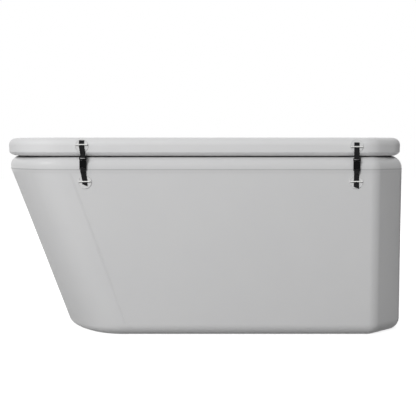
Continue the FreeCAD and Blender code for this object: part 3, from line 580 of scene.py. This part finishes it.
def ribbon(name, path, side, slant=0):
    """Webbing drawn along a path of (x, distance out from the wall, z) points; a slant cuts its end askew."""
    bm = bmesh.new()
    x, out, z = path[0]
    across = [bm.verts.new((x + share * webbing_width, side * (half_width + out), z))
              for share in (-0.5, -0.45, 0, 0.45, 0.5)]
    edges = [bm.edges.new(pair) for pair in zip(across, across[1:])]
    for before, after in zip(path, path[1:]):
        made = bmesh.ops.extrude_edge_only(bm, edges=edges)["geom"]
        verts = [part for part in made if isinstance(part, bmesh.types.BMVert)]
        edges = [part for part in made if isinstance(part, bmesh.types.BMEdge)
                 and part.verts[0] in verts and part.verts[1] in verts]
        step = Vector(after) - Vector(before)
        bmesh.ops.translate(bm, verts=verts, vec=(step.x, side * step.y, step.z))
        for vert in verts:
            vert.co.z -= slant * (vert.co.x - x) / (webbing_width * (len(path) - 1))
    piece = made_piece(bm, name)
    smooth = piece.modifiers.new("curve", "SUBSURF")
    smooth.levels = 2
    smooth.render_levels = 2
    cloth = piece.modifiers.new("cloth", "SOLIDIFY")
    cloth.thickness = webbing_thickness
    cloth.offset = 0
    edge_round = piece.modifiers.new("selvedge", "BEVEL")
    edge_round.width = 0.4 * mm
    edge_round.segments = 2
    edge_round.limit_method = "ANGLE"
    edge_round.angle_limit = math.radians(50)
    return piece


def strap_path(bar_x, bar_z, x, end):
    """Webbing from a patch's bar to the end bar of a buckle half, once round that and back on itself."""
    span = bar_z - end
    up = math.copysign(mm, span)
    return [(bar_x, behind_bar, bar_z), (bar_x, behind_bar, bar_z - 4 * up),
            (bar_x + (x - bar_x) * 0.4, behind_bar + 1 * mm, bar_z - span * 0.4),
            (x, at_buckle - 2 * mm, end + span * 0.2), (x, at_buckle - 2.8 * mm, end + 3 * up),
            (x, at_buckle - 3 * mm, end - 1.3 * up), (x, at_buckle - 1.5 * mm, end - 3.6 * up),
            (x, at_buckle + 1.5 * mm, end - 3.6 * up), (x, at_buckle + 3 * mm, end - 1.3 * up),
            (x, at_buckle + 2.2 * mm, end + 4 * up), (x, at_buckle + 1.4 * mm, end + 11 * up)]


# The picks of the weave are drawn coarser than the real ones, so that they show at all.
black_web = webbing_cloth("polyester_webbing_black", "#0A0A0B", "#1A1A1C", 1.2 * mm)
behind_bar = 2.55 * mm
at_buckle = 6.5 * mm
buckle_length = 48 * mm
tail_slant = 8 * mm
for place, sizes in straps.items():
    side = -1 if place.endswith("front") else 1
    x, lid_x, tub_x, bar_z, top, tail_length = (size * mm for size in sizes)
    tail = [(lid_x, behind_bar - set_back(bar_z + rise) + rise * 0.02, bar_z + rise)
            for rise in (-1 * mm, 3 * mm, 7 * mm, 12 * mm, 16 * mm)]
    fitted(ribbon(f"lid_tail_{place}", tail, side), black_web, "lid", "black_webbing", "lid_strap_tails")
    upper = ribbon(f"webbing_upper_cloth_{place}", strap_path(lid_x, bar_z, x, top), side)
    fitted(upper, black_web, f"upper_strap_{place}", "black_webbing", f"webbing_upper_{place}")
    lower = ribbon(f"webbing_lower_cloth_{place}", strap_path(tub_x, lower_bar, x, top - buckle_length), side)
    fitted(lower, black_web, f"lower_strap_{place}", "black_webbing", f"webbing_lower_{place}")
    end = [(tub_x, behind_bar, lower_bar + 1 * mm), (tub_x, behind_bar, lower_bar - 4 * mm),
           (tub_x, behind_bar + 0.2 * mm, lower_bar - 9 * mm),
           (tub_x, behind_bar + 0.9 * mm, lower_bar - tail_length + 3 * mm),
           (tub_x, behind_bar + 1.1 * mm, lower_bar - tail_length)]
    tub_tail = ribbon(f"tub_tail_{place}", end, side, tail_slant)
    fitted(tub_tail, black_web, "tub", "black_webbing", "tub_strap_tails")


# Side-release buckles: two halves and two springy prongs, moulded in black acetal. The edges are
# a little rounded and the skin of the moulding has a low satin gloss.
acetal_black = moulded("acetal_black", "#080809", 0.5, 0.6 * mm, 0.06)
for place in straps:
    for half, strap in (("male", "upper"), ("female", "lower")):
        moulding = softened(f"buckle_{half}_{place}", f"buckle_{half}_moulding_{place}", 0.35 * mm)
        fitted(moulding, acetal_black, f"{strap}_strap_{place}", "black_buckle", f"buckle_{half}_{place}")
    for end in ("headward", "footward"):
        node = f"prong_{end}_{place}"
        fitted(softened(node, f"{node}_moulding", 0.3 * mm), acetal_black, node, "black_buckle", node)


# Inflation valves, one in the tub's back wall and one in the lid: a housing clamped through the
# cloth by a nut, a sprung poppet with a push button, and a cap on a ring that turns.
valve_grey = moulded("abs_valve_grey", "#A4A6A8", 0.3, 1 * mm)
valve_white = moulded("acetal_valve_white", "#DEDFDF", 0.35, 1 * mm)
for owner in ("tub", "lid"):
    for part, moves, finish, slot in (("housing", False, valve_grey, "valve_plastic"),
                                      ("nut", False, valve_white, "valve_inner"),
                                      ("poppet", True, valve_white, "valve_inner"),
                                      ("tether_ring", True, valve_grey, "valve_plastic"),
                                      ("cap", True, valve_grey, "valve_plastic")):
        node = f"{owner}_valve_{part}"
        fitted(softened(node, f"{node}_moulding", 0.3 * mm), finish, node if moves else owner, slot, node)


# The valve springs: drawn stainless wire wound to a coil between the housing and the button.
def drawn_wire(name, colour):
    """Drawn stainless wire: bright metal with the drawing die's fine scratches."""
    material, tree = new_material(name)
    place = add_node(tree, "ShaderNodeTexCoord").outputs["Object"]
    noise = add_node(tree, "ShaderNodeTexNoise", {"Scale": 1 / (0.4 * mm), "Detail": 2.0}, {"Vector": place})
    bump = add_node(tree, "ShaderNodeBump", {"Strength": 0.1, "Distance": 0.02 * mm},
                    {"Height": noise.outputs["Fac"]})
    surface = add_node(tree, "ShaderNodeBsdfPrincipled", {"Roughness": 0.3, "Metallic": 1.0},
                       {"Normal": bump.outputs["Normal"]})
    surface.inputs["Base Color"].default_value = linear(colour)
    add_node(tree, "ShaderNodeOutputMaterial", (), {"Surface": surface.outputs[0]})
    return material


spring_steel = drawn_wire("stainless_wire", "#C9C8C6")
for owner, outward in (("tub", Vector((0, 1, 0))), ("lid", Vector((0, 0, 1)))):
    node = f"{owner}_valve_spring"
    bm = own_solid(node)
    spring = fitted(made_piece(bm, f"{node}_wire"), spring_steel, owner, "spring_steel", node)
    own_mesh(spring)


# The drain near the floor at the foot of the back wall: a moulded sleeve through the wall, clamped
# by a nut in the basin, with a ribbed screw cap on its outlet.
drain_black = moulded("abs_drain_black", "#232425", 0.32, 1 * mm)
for node, body, name in (("drain_body", "tub", "drain_sleeve_moulding"),
                         ("drain_nut", "tub", "drain_nut_moulding"),
                         ("drain_cap", "drain_cap", "drain_cap_moulding")):
    fitted(softened(node, name, 0.4 * mm), drain_black, body, "drain_plastic", node)


# The studio: a white floor and backdrop that the camera sees as plain white, a large soft lamp in
# front, one behind and a small one at the head's side, and the camera where the photograph was
# taken from, almost level with the lid.
def studio_white(tree):
    """White where the camera or a reflection looks, and a plain pale surface for the light itself."""
    path = add_node(tree, "ShaderNodeLightPath")
    seen = add_node(tree, "ShaderNodeMath", {"operation": "MAXIMUM"},
                    {0: path.outputs["Is Camera Ray"], 1: path.outputs["Is Glossy Ray"]})
    return add_node(tree, "ShaderNodeMath", {"operation": "MAXIMUM"},
                    {0: seen.outputs[0], 1: path.outputs["Is Transmission Ray"]}).outputs[0]


floor_material, tree = new_material("studio_floor")
seen = studio_white(tree)
paint = add_node(tree, "ShaderNodeBsdfDiffuse", {"Color": linear("#A8A8A8")})
place = add_node(tree, "ShaderNodeTexCoord").outputs["Object"]
away = add_node(tree, "ShaderNodeVectorMath", {"operation": "LENGTH"}, {0: place}).outputs["Value"]
level = add_node(tree, "ShaderNodeMapRange",
                 {"From Min": 1.1, "From Max": 2.2, "To Min": 0.86, "To Max": 1.0}, {"Value": away})
glow = add_node(tree, "ShaderNodeEmission", {"Color": (1, 1, 1, 1)}, {"Strength": level.outputs[0]})
both = add_node(tree, "ShaderNodeAddShader")
tree.links.new(paint.outputs[0], both.inputs[0])
tree.links.new(glow.outputs[0], both.inputs[1])
mixed = add_node(tree, "ShaderNodeMixShader", (), {0: seen})
tree.links.new(paint.outputs[0], mixed.inputs[1])
tree.links.new(both.outputs[0], mixed.inputs[2])
add_node(tree, "ShaderNodeOutputMaterial", (), {"Surface": mixed.outputs[0]})
bm = bmesh.new()
bmesh.ops.create_grid(bm, x_segments=1, y_segments=1, size=14)
floor = made_piece(bm, "studio_floor")
floor.data.materials.append(floor_material)

world = bpy.data.worlds.new("studio_air")
world.use_nodes = True
tree = world.node_tree
tree.nodes.clear()
seen = studio_white(tree)
level = add_node(tree, "ShaderNodeMapRange", {"To Min": 0.13, "To Max": 1.0}, {"Value": seen})
air = add_node(tree, "ShaderNodeBackground", {"Color": (1, 1, 1, 1)}, {"Strength": level.outputs[0]})
add_node(tree, "ShaderNodeOutputWorld", (), {"Surface": air.outputs[0]})
bpy.context.scene.world = world

for name, place, aim, size, power in (("key_lamp", (-3.75, -8.71, 5.67), (0, 0, 0.4), 4.2, 1000),
                                      ("left_lamp", (-3.7, -1.86, 3.57), (-0.62, -0.35, 0.68), 0.8, 18),
                                      ("back_lamp", (1.0, 4.3, 5.0), (0, 0, 0.4), 3.0, 230)):
    lamp_data = bpy.data.lights.new(name, "AREA")
    lamp_data.shape = "SQUARE"
    lamp_data.size = size
    lamp_data.energy = power
    lamp = bpy.data.objects.new(name, lamp_data)
    lamp.location = place
    lamp.rotation_euler = (Vector(aim) - Vector(place)).to_track_quat("-Z", "Y").to_euler()
    lamp.visible_glossy = name == "left_lamp"
    bpy.context.scene.collection.objects.link(lamp)

camera_data = bpy.data.cameras.new("camera")
camera_data.lens = 68.6
camera = bpy.data.objects.new("camera", camera_data)
camera.location = (0.03, -3.4097, 0.7389)
camera.rotation_euler = (math.radians(90 - 4.48), 0, 0)
bpy.context.scene.collection.objects.link(camera)
bpy.context.scene.camera = camera
bpy.context.scene.view_settings.view_transform = "Standard"
